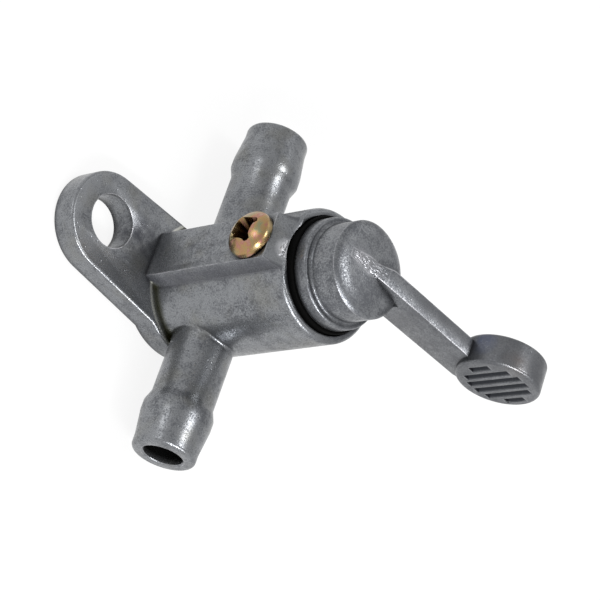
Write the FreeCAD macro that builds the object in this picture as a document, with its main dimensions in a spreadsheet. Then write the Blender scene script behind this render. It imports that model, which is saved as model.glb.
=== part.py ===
import FreeCAD, Part
import math
import os
import Sketcher

# A small inline fuel tap: a die-cast body with two hose barbs and a fixing ear, and a turning
# plug cast in one with its lever.
# Frame in mm: +Z is the axis of the plug, from the flat back of the flange (Z = 0) towards the
# lever. +X points to the fixing ear, +Y to one of the two barbs. The lever rests towards -X.

V = FreeCAD.Vector
doc = FreeCAD.newDocument("fuel_tap")

# Driving sizes. A text that starts with = is worked out from the others.
SIZES = [
    ("barrel_dia", "16"),
    ("barrel_height", "24.3"),
    ("barrel_wall", "1.5"),
    ("rim_round", "0.45"),
    ("barb_root_round", "0.4"),
    ("flange_thick", "3.4"),
    ("flange_edge_round", "0.4"),
    ("ear_gap", "8.65"),
    ("ear_side_shift", "0.2"),
    ("ear_round", "6.2"),
    ("ear_hole_dia", "6.5"),
    ("ear_root_drop", "0.5"),
    ("lobe_rise", "0.75"),
    ("land_rise", "1.26"),
    ("land_top_width", "6"),
    ("land_foot_width", "7"),
    ("land_end_drop", "1.4"),
    ("port_height", "6.65"),
    ("port_dia", "4.4"),
    ("port_step_depth", "0.6"),
    ("barb_bore_dia", "4.9"),
    ("barb_mouth_chamfer", "0.2"),
    ("barb_length", "14.75"),
    ("neck_dia", "7.7"),
    ("bead_dia", "8.7"),
    ("bead_back_inset", "7.35"),
    ("bead_high_inset", "5.95"),
    ("bead_taper_inset", "4.75"),
    ("nose_inset", "1.55"),
    ("nose_dia", "7.9"),
    ("nose_round", "0.6"),
    ("seal_pocket_step", "0.6"),
    ("seal_pocket_depth", "1.1"),
    ("seal_pocket_play", "0.15"),
    ("seal_top_gap", "0.04"),
    ("plug_play", "0.04"),
    ("plug_foot_gap", "0.3"),
    ("plug_foot_collar", "0.4"),
    ("plug_neck_step", "0.71"),
    ("oring_cord", "1.4"),
    ("oring_play", "0.02"),
    ("oring_side_gap", "0.2"),
    ("lower_oring_drop", "3.85"),
    ("upper_oring_rise", "4.55"),
    ("ring_overhang", "0.1"),
    ("ring_gap", "0.7"),
    ("ring_thick", "1.7"),
    ("ring_edge_round", "0.35"),
    ("hub_step", "0.85"),
    ("hub_rise", "3.85"),
    ("hub_edge_round", "0.3"),
    ("hub_dome_width", "1.9"),
    ("hub_dome_rise", "0.55"),
    ("hub_dome_r", "5"),
    ("hub_crown", "0.85"),
    ("arm_length", "17.35"),
    ("arm_thick", "2.3"),
    ("arm_foot_gap", "0.05"),
    ("arm_web_round", "1.5"),
    ("arm_rise", "0.4"),
    ("arm_toe", "1.9"),
    ("arm_rib_rise", "1.6"),
    ("arm_rib_sink", "0.45"),
    ("arm_rib_start", "2.5"),
    ("arm_rib_inset", "0.75"),
    ("arm_rib_tip", "0.3"),
    ("thumb_lift", "2.35"),
    ("thumb_dia", "10.5"),
    ("thumb_thick", "4"),
    ("thumb_edge_round", "0.5"),
    ("groove_pitch", "1.47"),
    ("groove_floor_width", "0.3"),
    ("groove_depth", "0.4"),
    ("groove_over", "0.1"),
    ("groove_shift", "0.2"),
    ("groove_field_dia", "7.9"),
    ("screw_inset", "4.1"),
    ("screw_dia", "3"),
    ("screw_play", "0.04"),
    ("screw_bite", "1.06"),
    ("screw_tip_chamfer", "0.3"),
    ("screw_seat_gap", "0.02"),
    ("screw_head_dia", "6"),
    ("screw_head_high", "2.4"),
    ("screw_head_side", "1"),
    ("recess_span", "3.8"),
    ("recess_slot", "1.05"),
    ("recess_depth", "1.4"),
    ("stop_floor_gap", "0.3"),
    ("stop_side_gap", "0.1"),
    ("lever_turn", "90"),
    ("barrel_r", "=barrel_dia / 2"),
    ("ear_reach", "=barrel_r + ear_gap"),
    ("ear_hole_r", "=ear_hole_dia / 2"),
    ("ear_root_reach", "=0.7125 * barrel_r"),
    ("ear_root_side", "=barrel_r - ear_root_drop"),
    ("flange_hidden_x", "=0.45 * barrel_r"),
    ("flange_hidden_y", "=0.8875 * barrel_r"),
    ("lobe_r", "=barrel_r + lobe_rise"),
    ("land_top", "=barrel_r + land_rise"),
    ("land_top_half", "=land_top_width / 2"),
    ("land_foot_half", "=land_foot_width / 2"),
    ("land_foot", "=0.8875 * barrel_r"),
    ("land_end_top", "=barrel_height - land_end_drop"),
    ("port_r", "=port_dia / 2"),
    ("port_step", "=barrel_r + port_step_depth"),
    ("barb_bore_r", "=barb_bore_dia / 2"),
    ("barb_reach", "=barrel_r + barb_length"),
    ("bead_back", "=barb_reach - bead_back_inset"),
    ("bead_high_back", "=barb_reach - bead_high_inset"),
    ("bead_high_front", "=barb_reach - bead_taper_inset"),
    ("nose_back", "=barb_reach - nose_inset"),
    ("neck_r", "=neck_dia / 2"),
    ("bead_r", "=bead_dia / 2"),
    ("nose_r", "=nose_dia / 2"),
    ("plug_bore_r", "=barrel_r - barrel_wall"),
    ("seal_pocket_r", "=plug_bore_r + seal_pocket_step"),
    ("seal_pocket_floor", "=barrel_height - seal_pocket_depth"),
    ("plug_r", "=plug_bore_r - plug_play"),
    ("plug_neck_r", "=plug_r - plug_neck_step"),
    ("gland_r", "=plug_bore_r - oring_cord"),
    ("gland_half", "=(oring_cord + oring_side_gap) / 2"),
    ("oring_r", "=oring_cord / 2 - oring_play"),
    ("oring_path_r", "=plug_bore_r - oring_cord / 2"),
    ("lower_oring_height", "=port_height - lower_oring_drop"),
    ("upper_oring_height", "=port_height + upper_oring_rise"),
    ("plug_foot", "=lower_oring_height - gland_half - plug_foot_collar"),
    ("bore_floor", "=plug_foot - plug_foot_gap"),
    ("ring_r", "=plug_bore_r + ring_overhang"),
    ("ring_back", "=barrel_height + ring_gap"),
    ("ring_front", "=ring_back + ring_thick"),
    ("hub_r", "=ring_r - hub_step"),
    ("hub_foot_round", "=0.8 * (hub_step - ring_edge_round)"),
    ("hub_edge_height", "=ring_front + hub_rise"),
    ("hub_top", "=hub_edge_height + hub_crown"),
    ("arm_half", "=arm_thick / 2"),
    ("web_side", "=arm_half + arm_web_round"),
    ("web_reach", "=sqrt((hub_r + arm_web_round)^2 - web_side^2)"),
    ("web_hub_x", "=web_reach * hub_r / (hub_r + arm_web_round)"),
    ("web_hub_y", "=web_side * hub_r / (hub_r + arm_web_round)"),
    ("arm_rib_end", "=hub_r - arm_rib_inset"),
    ("arm_rib_point", "=arm_rib_end - arm_rib_tip"),
    ("arm_low", "=ring_front + arm_foot_gap"),
    ("arm_high", "=hub_edge_height + arm_rib_rise"),
    ("arm_rib_foot", "=hub_edge_height - arm_rib_sink"),
    ("thumb_r", "=thumb_dia / 2"),
    ("thumb_reach", "=hub_r + arm_length"),
    ("thumb_face", "=thumb_thick / 2"),
    ("groove_floor", "=thumb_face - groove_depth"),
    ("groove_floor_half", "=groove_floor_width / 2"),
    ("groove_top_half", "=groove_floor_half + groove_depth + groove_over"),
    ("grip_middle", "=thumb_reach + groove_shift"),
    ("grip_off_inner", "=0.5 * groove_pitch"),
    ("grip_off_mid", "=1.5 * groove_pitch"),
    ("grip_off_outer", "=2.5 * groove_pitch"),
    ("grip_length_inner", "=2 * sqrt((groove_field_dia / 2)^2 - grip_off_inner^2)"),
    ("grip_length_mid", "=2 * sqrt((groove_field_dia / 2)^2 - grip_off_mid^2)"),
    ("grip_length_outer", "=2 * sqrt((groove_field_dia / 2)^2 - grip_off_outer^2)"),
    ("thumb_height", "=hub_edge_height + thumb_lift"),
    ("screw_r", "=screw_dia / 2"),
    ("screw_height", "=barrel_height - screw_inset"),
    ("screw_hole_r", "=screw_r + screw_play"),
    ("screw_tip", "=plug_r - screw_bite"),
    ("screw_seat", "=land_top + screw_seat_gap"),
    ("screw_top", "=screw_seat + screw_head_high"),
    ("screw_head_r", "=screw_head_dia / 2"),
    ("screw_shoulder", "=screw_seat + screw_head_side"),
    ("screw_dome", "=screw_head_high - screw_head_side"),
    ("screw_dome_r", "=(screw_head_r^2 + screw_dome^2) / (2 * screw_dome)"),
    ("recess_arm", "=recess_span / 2"),
    ("recess_half", "=recess_slot / 2"),
    ("recess_floor", "=screw_top - recess_depth"),
    ("stop_floor", "=screw_tip - stop_floor_gap"),
    ("stop_half", "=screw_r + stop_side_gap"),
    ("stop_angle", "=asin((screw_r + screw_play) / screw_tip) / 1deg"),
    ("stop_sweep", "=lever_turn + stop_angle"),
    ("seal_in", "=plug_neck_r + oring_play"),
    ("seal_out", "=seal_pocket_r - seal_pocket_play"),
    ("seal_low", "=seal_pocket_floor + oring_play"),
    ("seal_high", "=ring_back - seal_top_gap"),
]

sheet = doc.addObject("Spreadsheet::Sheet", "sizes")
for row, (alias, text) in enumerate(SIZES, start=1):
    sheet.set("A%d" % row, alias)
    sheet.set("B%d" % row, text)
    sheet.setAlias("B%d" % row, alias)
doc.recompute()


# A coordinate is written as a sum of sheet names, such as "barrel_r-rim_round".
def terms(text):
    parts = text.replace("-", " -").replace("+", " +").split()
    return [(-1 if part.startswith("-") else 1, part.lstrip("+-")) for part in parts]


def value(text):
    if text == "0":
        return 0.0
    return sum(sign * float(getattr(sheet, alias)) for sign, alias in terms(text))


def formula(text):
    return "0 " + " ".join("%s sizes.%s" % ("-" if sign < 0 else "+", alias) for sign, alias in terms(text))


def new_body(name):
    body = doc.addObject("PartDesign::Body", name)
    body.Label = name
    return body


def new_sketch(body, name, role, up=None, out=None):
    plane = [item for item in body.Origin.OriginFeatures if item.Role == role][0]
    sketch = body.newObject("Sketcher::SketchObject", name)
    sketch.AttachmentSupport = [(plane, "")]
    sketch.MapMode = "FlatFace"
    if up:
        sketch.setExpression("AttachmentOffset.Base.y", formula(up))
    if out:
        sketch.setExpression("AttachmentOffset.Base.z", formula(out))
    return sketch


def held(sketch, kind, picks, text):
    index = sketch.addConstraint(Sketcher.Constraint(kind, *picks, value(text)))
    sketch.setExpression("Constraints[%d]" % index, formula(text))


def place_point(sketch, geo, pos, x, y):
    """Holds one point of the sketch at two sheet coordinates."""
    for kind, text, axis in (("DistanceX", x, -2), ("DistanceY", y, -1)):
        if text == "0":
            sketch.addConstraint(Sketcher.Constraint("PointOnObject", geo, pos, axis))
        else:
            held(sketch, kind, (-1, 1, geo, pos), text)


def arc_middle(start, end, radius, side):
    """Middle point of the arc from start to end that bulges to the left (1) or right (-1)."""
    chord = end - start
    half = chord.Length / 2
    rise = radius - math.sqrt(max(radius * radius - half * half, 0))
    left = V(-chord.y, chord.x, 0).normalize()
    return (start + end) * 0.5 + left * (rise * side)


def outline(sketch, corners):
    """A closed line through the corners. A corner with a third and fourth entry starts an arc of
    that radius, which bulges to the left (1) or right (-1) of the way to the next corner."""
    spots = [V(value(corner[0]), value(corner[1]), 0) for corner in corners]
    made = []
    for index, corner in enumerate(corners):
        start = spots[index]
        end = spots[(index + 1) % len(spots)]
        if len(corner) == 2:
            geo = sketch.addGeometry(Part.LineSegment(start, end), False)
            made.append((geo, 1, 2))
            continue
        middle = arc_middle(start, end, value(corner[2]), corner[3])
        geo = sketch.addGeometry(Part.Arc(start, middle, end), False)
        turned = (middle - start).cross(end - middle).z < 0
        made.append((geo, 2, 1) if turned else (geo, 1, 2))
        held(sketch, "Radius", (geo,), corner[2])
    for index, (geo, first, last) in enumerate(made):
        after = made[(index + 1) % len(made)]
        sketch.addConstraint(Sketcher.Constraint("Coincident", geo, last, after[0], after[1]))
        place_point(sketch, geo, first, corners[index][0], corners[index][1])


def ring_line(sketch, x, y, radius):
    """A circle held at two sheet coordinates."""
    centre = V(value(x), value(y), 0)
    geo = sketch.addGeometry(Part.Circle(centre, V(0, 0, 1), value(radius)), False)
    held(sketch, "Radius", (geo,), radius)
    place_point(sketch, geo, 3, x, y)


def feature(body, kind, name, sketch, **settings):
    made = body.newObject("PartDesign::" + kind, name)
    made.Profile = sketch
    for key, setting in settings.items():
        setattr(made, key, setting)
    sketch.Visibility = False
    return made


def round_edges(body, name, base, radius, wanted):
    """Rounds every edge of the base feature that the test picks."""
    doc.recompute()
    picked = ["Edge%d" % (n + 1) for n, edge in enumerate(base.Shape.Edges) if wanted(edge)]
    made = body.newObject("PartDesign::Fillet", name)
    made.Base = (base, picked)
    made.setExpression("Radius", "sizes." + radius)
    return made


def level(edge, height):
    box = edge.BoundBox
    return abs(box.ZMin - height) < 1e-4 and abs(box.ZMax - height) < 1e-4


def on_thumb_face(edge):
    box = edge.BoundBox
    face = value("thumb_thick") / 2
    return abs(abs(box.YMin) - face) < 1e-4 and abs(box.YMin - box.YMax) < 1e-4


def at_barb_root(edge):
    """True for an edge where a barb leaves the barrel."""
    spots = [edge.valueAt(edge.FirstParameter + part * (edge.LastParameter - edge.FirstParameter) / 4)
             for part in range(5)]
    on_barrel = all(abs(math.hypot(spot.x, spot.y) - value("barrel_r")) < 1e-3 for spot in spots)
    on_neck = all(abs(math.hypot(spot.x, spot.z - value("port_height")) - value("neck_r")) < 1e-3 for spot in spots)
    return on_barrel and on_neck


# The body. The foot of the flange comes first, so that its edges can be rounded alone.
body = new_body("valve_body")
sketch = new_sketch(body, "flange_outline", "XY_Plane")
centre = V(value("ear_reach"), value("ear_side_shift"), 0)
low = centre - V(0, value("ear_round"), 0)
root = V(value("ear_root_reach"), value("ear_root_side"), 0)
hidden_near = V(value("-flange_hidden_x"), value("flange_hidden_y"), 0)
hidden_far = V(value("flange_hidden_x"), low.y, 0)
far_edge = sketch.addGeometry(Part.LineSegment(hidden_far, low), False)
end_circle = Part.Circle(centre, V(0, 0, 1), value("ear_round"))
end_arc = sketch.addGeometry(Part.ArcOfCircle(end_circle, -math.pi / 2, math.pi * 0.47), False)
tangent_spot = end_circle.value(math.pi * 0.47)
near_edge = sketch.addGeometry(Part.LineSegment(tangent_spot, root), False)
middle = arc_middle(root, hidden_near, value("lobe_r"), -1)
lobe = sketch.addGeometry(Part.Arc(root, middle, hidden_near), False)
inner_edge = sketch.addGeometry(Part.LineSegment(hidden_near, hidden_far), False)
sketch.addConstraint([
    Sketcher.Constraint("Tangent", far_edge, 2, end_arc, 1),
    Sketcher.Constraint("Tangent", end_arc, 2, near_edge, 1),
    Sketcher.Constraint("Coincident", near_edge, 2, lobe, 1),
    Sketcher.Constraint("Coincident", lobe, 2, inner_edge, 1),
    Sketcher.Constraint("Coincident", inner_edge, 2, far_edge, 1),
    Sketcher.Constraint("Horizontal", far_edge),
])
place_point(sketch, end_arc, 3, "ear_reach", "ear_side_shift")
held(sketch, "Radius", (end_arc,), "ear_round")
place_point(sketch, near_edge, 2, "ear_root_reach", "ear_root_side")
place_point(sketch, inner_edge, 1, "-flange_hidden_x", "flange_hidden_y")
held(sketch, "DistanceX", (-1, 1, far_edge, 1), "flange_hidden_x")
held(sketch, "Radius", (lobe,), "lobe_r")
flange = feature(body, "Pad", "flange", sketch)
flange.setExpression("Length", "sizes.flange_thick")
rounded = round_edges(body, "flange_edges", flange, "flange_edge_round",
                      lambda edge: level(edge, 0) or level(edge, value("flange_thick")))

# The barrel around the plug, its outer rim rounded.
sketch = new_sketch(body, "barrel_profile", "XZ_Plane")
outline(sketch, [
    ("0", "0"),
    ("barrel_r", "0"),
    ("barrel_r", "barrel_height-rim_round", "rim_round", -1),
    ("barrel_r-rim_round", "barrel_height"),
    ("0", "barrel_height"),
])
barrel = feature(body, "Revolution", "barrel", sketch)
barrel.ReferenceAxis = (sketch, ["V_Axis"])

# The raised land along the ear side carries the screw. Its open end leans back.
sketch = new_sketch(body, "land_section", "XY_Plane")
outline(sketch, [
    ("0", "-land_foot_half"),
    ("land_foot", "-land_foot_half"),
    ("land_top", "-land_top_half"),
    ("land_top", "land_top_half"),
    ("land_foot", "land_foot_half"),
    ("0", "land_foot_half"),
])
land = feature(body, "Pad", "land", sketch)
land.setExpression("Length", "sizes.barrel_height")
sketch = new_sketch(body, "land_end_cut", "XZ_Plane")
outline(sketch, [
    ("plug_bore_r", "barrel_height"),
    ("land_top", "land_end_top"),
    ("land_top+rim_round", "land_end_top"),
    ("land_top+rim_round", "barrel_height+rim_round"),
    ("plug_bore_r", "barrel_height+rim_round"),
])
land_end = feature(body, "Pocket", "land_end", sketch)
land_end.SideType = "Symmetric"
land_end.setExpression("Length", "sizes.barrel_dia")

# The two barbs in one turned piece: a bead with a short back and a long taper, and a rounded nose.
sketch = new_sketch(body, "barb_profile", "YZ_Plane", up="port_height")
half_barb = [
    ("bead_back", "neck_r"),
    ("bead_high_back", "bead_r"),
    ("bead_high_front", "bead_r"),
    ("nose_back", "nose_r"),
    ("barb_reach-nose_round", "nose_r", "nose_round", 1),
    ("barb_reach", "nose_r-nose_round"),
]
other_half = [
    ("-barb_reach", "nose_r-nose_round", "nose_round", 1),
    ("-barb_reach+nose_round", "nose_r"),
    ("-nose_back", "nose_r"),
    ("-bead_high_front", "bead_r"),
    ("-bead_high_back", "bead_r"),
    ("-bead_back", "neck_r"),
]
outline(sketch, [("-barb_reach", "0")] + other_half + half_barb + [("barb_reach", "0")])
barbs = feature(body, "Revolution", "barbs", sketch)
barbs.ReferenceAxis = (sketch, ["H_Axis"])
barb_roots = round_edges(body, "barb_roots", barbs, "barb_root_round", at_barb_root)

# The bore for the plug, with a wider pocket at its mouth for the black ring.
sketch = new_sketch(body, "plug_bore_profile", "XZ_Plane")
outline(sketch, [
    ("0", "bore_floor"),
    ("plug_bore_r", "bore_floor"),
    ("plug_bore_r", "seal_pocket_floor"),
    ("seal_pocket_r", "seal_pocket_floor"),
    ("seal_pocket_r", "barrel_height+rim_round"),
    ("0", "barrel_height+rim_round"),
])
plug_bore = feature(body, "Groove", "plug_bore", sketch)
plug_bore.ReferenceAxis = (sketch, ["V_Axis"])

# The fuel passage: a wider bore in each barb, a step, and a port into the plug's bore.
sketch = new_sketch(body, "port_profile", "YZ_Plane", up="port_height")
outline(sketch, [
    ("-barb_reach", "0"),
    ("-barb_reach", "barb_bore_r+barb_mouth_chamfer"),
    ("-barb_reach+barb_mouth_chamfer", "barb_bore_r"),
    ("-port_step", "barb_bore_r"),
    ("-port_step", "port_r"),
    ("port_step", "port_r"),
    ("port_step", "barb_bore_r"),
    ("barb_reach-barb_mouth_chamfer", "barb_bore_r"),
    ("barb_reach", "barb_bore_r+barb_mouth_chamfer"),
    ("barb_reach", "0"),
])
port = feature(body, "Groove", "port", sketch)
port.ReferenceAxis = (sketch, ["H_Axis"])

sketch = new_sketch(body, "ear_hole_circle", "XY_Plane")
ring_line(sketch, "ear_reach", "0", "ear_hole_r")
ear_hole = feature(body, "Pocket", "ear_hole", sketch, Reversed=True)
ear_hole.setExpression("Length", "sizes.flange_thick")

sketch = new_sketch(body, "screw_hole_circle", "YZ_Plane", out="plug_bore_r-plug_play-plug_play")
ring_line(sketch, "0", "screw_height", "screw_hole_r")
screw_hole = feature(body, "Pocket", "screw_hole", sketch, Reversed=True)
screw_hole.setExpression("Length", "sizes.land_top - sizes.plug_bore_r + sizes.rim_round")
valve_body = body

# The plug and its lever are one casting.
body = new_body("plug_lever")
# The arm is a flat blade. Its upper edge runs on across the head as a rib, which is cut to a point
# here, before the head is turned over it.
sketch = new_sketch(body, "arm_outline", "XZ_Plane")
outline(sketch, [
    ("-thumb_reach", "thumb_height-thumb_r"),
    ("-thumb_reach+arm_toe", "arm_low+arm_rise"),
    ("0", "arm_low"),
    ("arm_rib_end", "arm_rib_foot"),
    ("-arm_rib_start", "arm_high"),
    ("-thumb_reach", "arm_high"),
])
arm = feature(body, "Pad", "arm", sketch, SideType="Symmetric")
arm.setExpression("Length", "sizes.arm_thick")
sketch = new_sketch(body, "rib_sides", "XY_Plane", out="arm_high+rim_round")
for side in ("", "-"):
    outline(sketch, [
        ("-arm_rib_start", side + "arm_half"),
        ("arm_rib_point", "0"),
        ("hub_r+hub_foot_round", "0"),
        ("hub_r+hub_foot_round", side + "hub_r"),
        ("-arm_rib_start", side + "hub_r"),
    ])
rib_cut = feature(body, "Pocket", "rib_taper", sketch)
rib_cut.setExpression("Length", "sizes.arm_high + sizes.rim_round - sizes.ring_front")

sketch = new_sketch(body, "plug_profile", "XZ_Plane")
glands = []
for ring in ("lower_oring_height", "upper_oring_height"):
    glands += [
        ("plug_r", ring + "-gland_half"),
        ("gland_r", ring + "-gland_half"),
        ("gland_r", ring + "+gland_half"),
        ("plug_r", ring + "+gland_half"),
    ]
outline(sketch, [("0", "plug_foot"), ("plug_r", "plug_foot")] + glands + [
    ("plug_r", "seal_pocket_floor-plug_play"),
    ("plug_neck_r", "seal_pocket_floor-plug_play"),
    ("plug_neck_r", "ring_back"),
    ("ring_r", "ring_back"),
    ("ring_r", "ring_front-ring_edge_round", "ring_edge_round", -1),
    ("ring_r-ring_edge_round", "ring_front"),
    ("hub_r+hub_foot_round", "ring_front", "hub_foot_round", 1),
    ("hub_r", "ring_front+hub_foot_round"),
    ("hub_r", "hub_edge_height-hub_edge_round"),
    ("hub_r-hub_edge_round", "hub_edge_height", "hub_dome_r", -1),
    ("hub_r-hub_edge_round-hub_dome_width", "hub_edge_height+hub_dome_rise"),
    ("0", "hub_top"),
])
turned = feature(body, "Revolution", "plug_turned", sketch)
turned.ReferenceAxis = (sketch, ["V_Axis"])

# The arm flows into the head over a rounded corner on each side.
sketch = new_sketch(body, "web_outline", "XY_Plane", out="arm_low")
outline(sketch, [
    ("-web_reach", "arm_half", "arm_web_round", -1),
    ("-web_hub_x", "web_hub_y"),
    ("0", "web_hub_y"),
    ("0", "-web_hub_y"),
    ("-web_hub_x", "-web_hub_y", "arm_web_round", -1),
    ("-web_reach", "-arm_half"),
])
web = feature(body, "Pad", "web", sketch)
web.setExpression("Length", "sizes.hub_edge_height - sizes.hub_edge_round - sizes.arm_low")

sketch = new_sketch(body, "thumb_circle", "XZ_Plane")
ring_line(sketch, "-thumb_reach", "thumb_height", "thumb_r")
thumb = feature(body, "Pad", "thumb_disc", sketch, SideType="Symmetric")
thumb.setExpression("Length", "sizes.thumb_thick")

thumb_edge = round_edges(body, "thumb_edges", thumb, "thumb_edge_round",
                         lambda edge: on_thumb_face(edge) and edge.Length > 2)

# Six grip grooves on each face, running along the plug axis inside a round field. The two of a
# pair, one each side of the middle, are of one length.
for pair in ("inner", "mid", "outer"):
    sketch = new_sketch(body, "grip_" + pair, "XY_Plane", out="thumb_height")
    for way in ("-", "+"):
        spot = "-grip_middle%sgrip_off_%s" % (way, pair)
        for face in ("", "-"):
            over = "-" if face else "+"
            outline(sketch, [
                (spot + "-groove_top_half", face + "thumb_face" + over + "groove_over"),
                (spot + "-groove_floor_half", face + "groove_floor"),
                (spot + "+groove_floor_half", face + "groove_floor"),
                (spot + "+groove_top_half", face + "thumb_face" + over + "groove_over"),
            ])
    grip = feature(body, "Pocket", "grip_grooves_" + pair, sketch, SideType="Symmetric")
    grip.setExpression("Length", "sizes.grip_length_" + pair)

# The passage through the plug lies across the barbs at rest: the tap is shut.
sketch = new_sketch(body, "plug_port_circle", "YZ_Plane")
ring_line(sketch, "0", "port_height", "port_r")
plug_port = feature(body, "Pocket", "plug_port", sketch, SideType="Symmetric")
plug_port.setExpression("Length", "2 * sizes.barrel_r")

# The part-round groove for the tip of the screw: its two ends stop the lever.
sketch = new_sketch(body, "stop_section", "XZ_Plane")
outline(sketch, [
    ("stop_floor", "screw_height-stop_half"),
    ("plug_r+plug_play", "screw_height-stop_half"),
    ("plug_r+plug_play", "screw_height+stop_half"),
    ("stop_floor", "screw_height+stop_half"),
])
stop = feature(body, "Groove", "stop_groove", sketch, Type="TwoAngles")
stop.ReferenceAxis = (sketch, ["V_Axis"])
stop.setExpression("Angle", "sizes.stop_angle")
stop.setExpression("Angle2", "sizes.stop_sweep")
plug_lever = body

# The screw that keeps the plug in: a pan head with a cross recess.
body = new_body("retaining_screw")
sketch = new_sketch(body, "screw_profile", "XZ_Plane", up="screw_height")
outline(sketch, [
    ("screw_tip", "0"),
    ("screw_tip", "screw_r-screw_tip_chamfer"),
    ("screw_tip+screw_tip_chamfer", "screw_r"),
    ("screw_seat", "screw_r"),
    ("screw_seat", "screw_head_r"),
    ("screw_shoulder", "screw_head_r", "screw_dome_r", 1),
    ("screw_top", "0"),
])
shank = feature(body, "Revolution", "screw_turned", sketch)
shank.ReferenceAxis = (sketch, ["H_Axis"])
sketch = new_sketch(body, "recess_outline", "YZ_Plane", up="screw_height", out="recess_floor")
outline(sketch, [
    ("-recess_arm", "-recess_half"),
    ("-recess_half", "-recess_half"),
    ("-recess_half", "-recess_arm"),
    ("recess_half", "-recess_arm"),
    ("recess_half", "-recess_half"),
    ("recess_arm", "-recess_half"),
    ("recess_arm", "recess_half"),
    ("recess_half", "recess_half"),
    ("recess_half", "recess_arm"),
    ("-recess_half", "recess_arm"),
    ("-recess_half", "recess_half"),
    ("-recess_arm", "recess_half"),
])
recess = feature(body, "Pocket", "cross_recess", sketch, Reversed=True)
recess.setExpression("Length", "2 * sizes.recess_depth")
retaining_screw = body

# The rubber rings.
rings = []
for name, height in (("lower_o_ring", "lower_oring_height"), ("upper_o_ring", "upper_oring_height")):
    body = new_body(name)
    sketch = new_sketch(body, name + "_section", "XZ_Plane")
    ring_line(sketch, "oring_path_r", height, "oring_r")
    cord = feature(body, "Revolution", name + "_cord", sketch)
    cord.ReferenceAxis = (sketch, ["V_Axis"])
    rings.append(body)
body = new_body("mouth_ring")
sketch = new_sketch(body, "mouth_ring_section", "XZ_Plane")
outline(sketch, [
    ("seal_in", "seal_low"),
    ("seal_out", "seal_low"),
    ("seal_out", "seal_high"),
    ("seal_in", "seal_high"),
])
cord = feature(body, "Revolution", "mouth_ring_turned", sketch)
cord.ReferenceAxis = (sketch, ["V_Axis"])
rings.append(body)

doc.recompute()

troubled = [item.Name for item in doc.Objects if "Invalid" in item.State or "Error" in item.State]
if troubled:
    raise RuntimeError("features that did not build: " + ", ".join(troubled))

os.makedirs("parts", exist_ok=True)
for piece in [valve_body, plug_lever, retaining_screw] + rings:
    shape = piece.Shape
    if shape.isNull() or not shape.isValid() or len(shape.Solids) != 1 or len(shape.Shells) != 1:
        raise RuntimeError("bad shape: " + piece.Label)
    shape.exportStep("parts/%s.step" % piece.Label)
    print(piece.Label, len(shape.Faces), "faces", round(shape.Volume, 2), "mm3")
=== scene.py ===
import math

import bmesh
import bpy
from bpy.props import FloatProperty, FloatVectorProperty, IntProperty, PointerProperty
from mathutils import Matrix, Vector, noise
from mathutils.bvhtree import BVHTree


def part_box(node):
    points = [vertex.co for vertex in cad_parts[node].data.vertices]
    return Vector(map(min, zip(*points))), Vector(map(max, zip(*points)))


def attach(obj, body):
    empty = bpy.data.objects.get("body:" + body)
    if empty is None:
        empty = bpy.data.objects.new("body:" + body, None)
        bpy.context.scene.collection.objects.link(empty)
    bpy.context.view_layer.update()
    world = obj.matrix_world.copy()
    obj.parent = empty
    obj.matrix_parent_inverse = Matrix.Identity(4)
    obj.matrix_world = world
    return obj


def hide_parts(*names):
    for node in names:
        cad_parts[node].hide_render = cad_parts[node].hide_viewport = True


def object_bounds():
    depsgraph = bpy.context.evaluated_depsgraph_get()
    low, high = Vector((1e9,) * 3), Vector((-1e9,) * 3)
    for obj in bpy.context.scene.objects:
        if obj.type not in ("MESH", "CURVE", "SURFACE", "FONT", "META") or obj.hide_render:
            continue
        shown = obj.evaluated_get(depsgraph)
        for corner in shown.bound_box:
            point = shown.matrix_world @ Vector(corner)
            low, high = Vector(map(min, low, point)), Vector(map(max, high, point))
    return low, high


bl_info = {
    "name": "Fuel tap",
    "version": (1, 0, 0),
    "blender": (4, 5, 0),
    "location": "3D View > Sidebar > Fuel tap",
    "description": "Dresses the frame of a small die-cast fuel tap: its castings, screw, rings and stage",
    "category": "Add Mesh",
}

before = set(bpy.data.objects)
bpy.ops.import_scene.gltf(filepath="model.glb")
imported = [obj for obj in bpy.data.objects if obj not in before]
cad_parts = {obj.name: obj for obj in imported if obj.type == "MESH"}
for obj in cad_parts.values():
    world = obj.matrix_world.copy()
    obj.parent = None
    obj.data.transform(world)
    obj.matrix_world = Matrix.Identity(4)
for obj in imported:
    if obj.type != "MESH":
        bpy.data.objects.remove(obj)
CAD_BOX = [list(corner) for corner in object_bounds()]
MM = 0.001

# Points nearer than this are one point.
MERGE = 0.002 * MM

# Places on the body that its painted shade and highlight, its rubbed edges and its stains follow, from the
# plug's axis and the flat back. The land stands ahead of its start, and its sides slope about 3.35 mm from
# its middle.
BODY_LOW, BODY_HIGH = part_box("valve_body")
BARREL_RADIUS = -BODY_LOW[0]
BARREL_TOP = BODY_HIGH[2]
BARB_END = BODY_HIGH[1]
FLANGE_TOP = 3.4 * MM
PORT_HEIGHT = 6.65 * MM
PORT_RADIUS = 2.45 * MM
LAND_START = 6.9 * MM
LAND_SLOPE = 3.35 * MM


def linear(text):
    """An sRGB hex colour as linear red, green, blue and alpha."""
    parts = [int(text[place:place + 2], 16) / 255 for place in (1, 3, 5)]
    return [part / 12.92 if part <= 0.04045 else ((part + 0.055) / 1.055) ** 2.4 for part in parts] + [1.0]


def add_node(tree, kind, inputs=None, **settings):
    """Adds one shader node; an input is a value or another node's output."""
    made = tree.nodes.new("ShaderNode" + kind)
    for key, setting in settings.items():
        setattr(made, key, setting)
    for socket, source in (inputs or {}).items():
        if isinstance(source, bpy.types.NodeSocket):
            tree.links.new(source, made.inputs[socket])
        else:
            made.inputs[socket].default_value = source
    return made


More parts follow.
